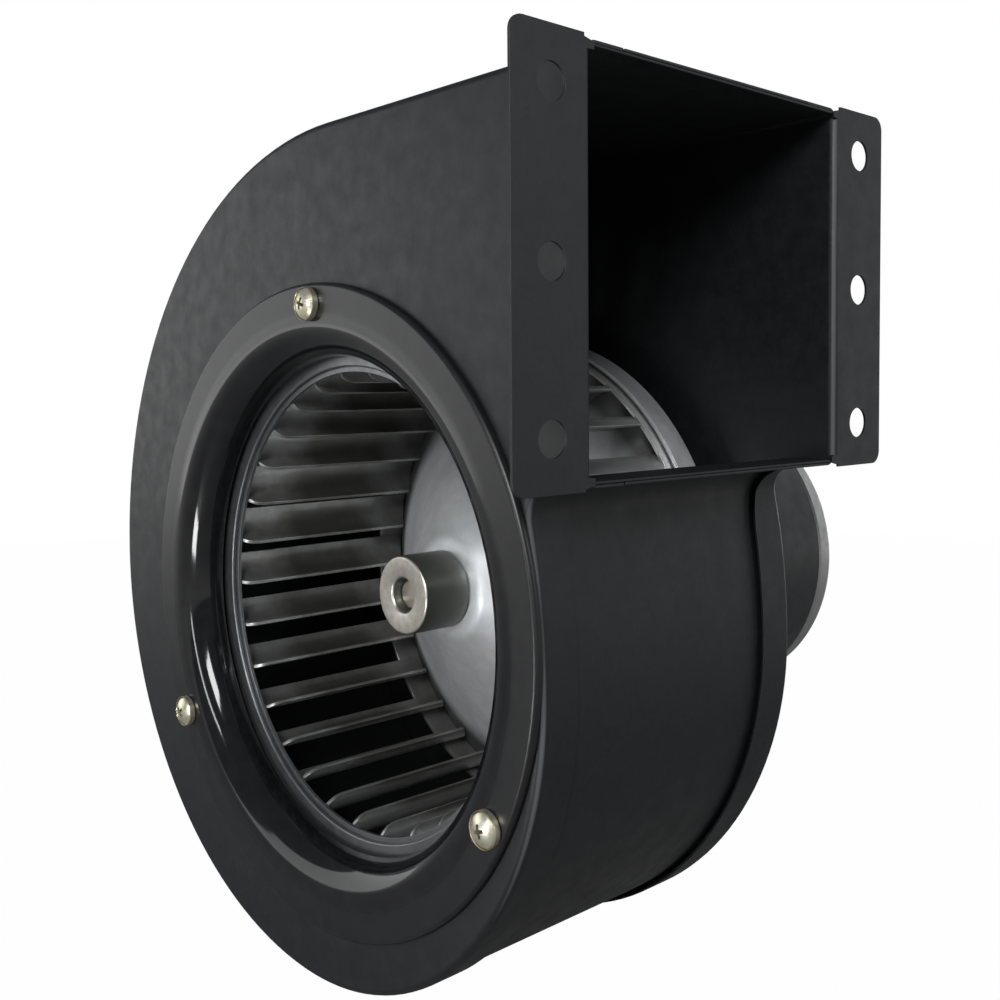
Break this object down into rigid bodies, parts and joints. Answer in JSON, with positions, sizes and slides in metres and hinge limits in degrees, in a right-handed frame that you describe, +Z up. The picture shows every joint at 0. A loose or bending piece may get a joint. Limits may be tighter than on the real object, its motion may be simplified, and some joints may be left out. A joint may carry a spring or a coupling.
{
  "type": "centrifugal combustion fan",
  "caption": "Small single-inlet centrifugal blower: scroll housing with flanged square outlet, bell inlet ring, forward-curved wheel and a round flange-mounted motor behind.",
  "frame": {"origin": "on the outer face of the front outlet flange, midway between its two lower holes; the shaft axis is 90.0 mm behind it along -X and 59.5 mm below", "axes": "+X is the discharge direction out of the outlet, +Y runs along the shaft from the inlet side to the motor, +Z is up, towards the flat top of the scroll"},
  "size_m": [0.1929, 0.1729, 0.2092],
  "materials": {
    "housing_paint": "satin black powder coat, finely textured",
    "ring_enamel": "gloss black enamel",
    "motor_paint": "satin black",
    "bracket_paint": "die cast, painted satin black",
    "zinc_yellow": "yellow passivated zinc",
    "galvanised": "galvanised sheet, dull spangle",
    "disc_steel": "galvanised sheet, spun, slightly brighter",
    "hub_steel": "turned steel, darkened side",
    "dark_steel": "blackened steel",
    "bright_steel": "ground steel",
    "lamination_steel": "stacked electrical sheet",
    "cast_aluminium": "die cast, matt",
    "winding_copper": "enamelled copper wire, varnished",
    "black_rubber": "matt moulded rubber",
    "cable_jacket": "soft black jacket",
    "brown_insulation": "semi-matt",
    "blue_insulation": "semi-matt",
    "green_insulation": "semi-matt"
  },
  "bodies": {
    "housing": {"front_shell": "housing_paint", "scroll_wrap": "housing_paint", "back_shell": "housing_paint", "inlet_ring": "ring_enamel", "inlet_ring_screw_1": "zinc_yellow", "inlet_ring_screw_2": "zinc_yellow", "inlet_ring_screw_3": "zinc_yellow", "front_bearing_outer_ring": "bright_steel", "rear_bearing_outer_ring": "bright_steel", "bearing_preload_washer": "dark_steel", "stator_core": "lamination_steel", "stator_winding": "winding_copper", "motor_front_bracket": "bracket_paint", "motor_can": "motor_paint", "motor_rear_cover": "cast_aluminium", "motor_mount_screw_1": "zinc_yellow", "motor_mount_screw_2": "zinc_yellow", "motor_mount_screw_3": "zinc_yellow", "motor_mount_screw_4": "zinc_yellow", "motor_tie_bolt_1": "dark_steel", "motor_tie_bolt_2": "dark_steel", "motor_tie_bolt_3": "dark_steel", "motor_tie_bolt_4": "dark_steel", "cable_grommet": "black_rubber", "motor_cable": "cable_jacket", "cable_core_live": "brown_insulation", "cable_core_neutral": "blue_insulation", "cable_core_earth": "green_insulation"},
    "rotor": {"impeller_front_ring": "galvanised", "impeller_blade_cage": "galvanised", "impeller_back_disc": "disc_steel", "impeller_hub": "hub_steel", "hub_set_screw": "dark_steel", "motor_shaft": "bright_steel", "rotor_core": "lamination_steel", "rotor_cage": "cast_aluminium", "front_bearing_inner_ring": "bright_steel", "rear_bearing_inner_ring": "bright_steel"},
    "front_balls": {"front_bearing_ball_set": "bright_steel"},
    "rear_balls": {"rear_bearing_ball_set": "bright_steel"}
  },
  "joints": [
    {"name": "rotor_spin", "type": "hinge", "parent": "housing", "child": "rotor", "pos_m": [-0.09, 0, -0.05953], "axis": [0, 1, 0], "continuous": true},
    {"name": "front_balls_orbit", "type": "hinge", "parent": "housing", "child": "front_balls", "pos_m": [-0.09, 0.07945, -0.05953], "axis": [0, 1, 0], "continuous": true},
    {"name": "rear_balls_orbit", "type": "hinge", "parent": "housing", "child": "rear_balls", "pos_m": [-0.09, 0.15225, -0.05953], "axis": [0, 1, 0], "continuous": true}
  ],
  "couplings": [
    {"joint": "front_balls_orbit", "follows": "rotor_spin", "ratio": 0.3733},
    {"joint": "rear_balls_orbit", "follows": "rotor_spin", "ratio": 0.3733}
  ]
}
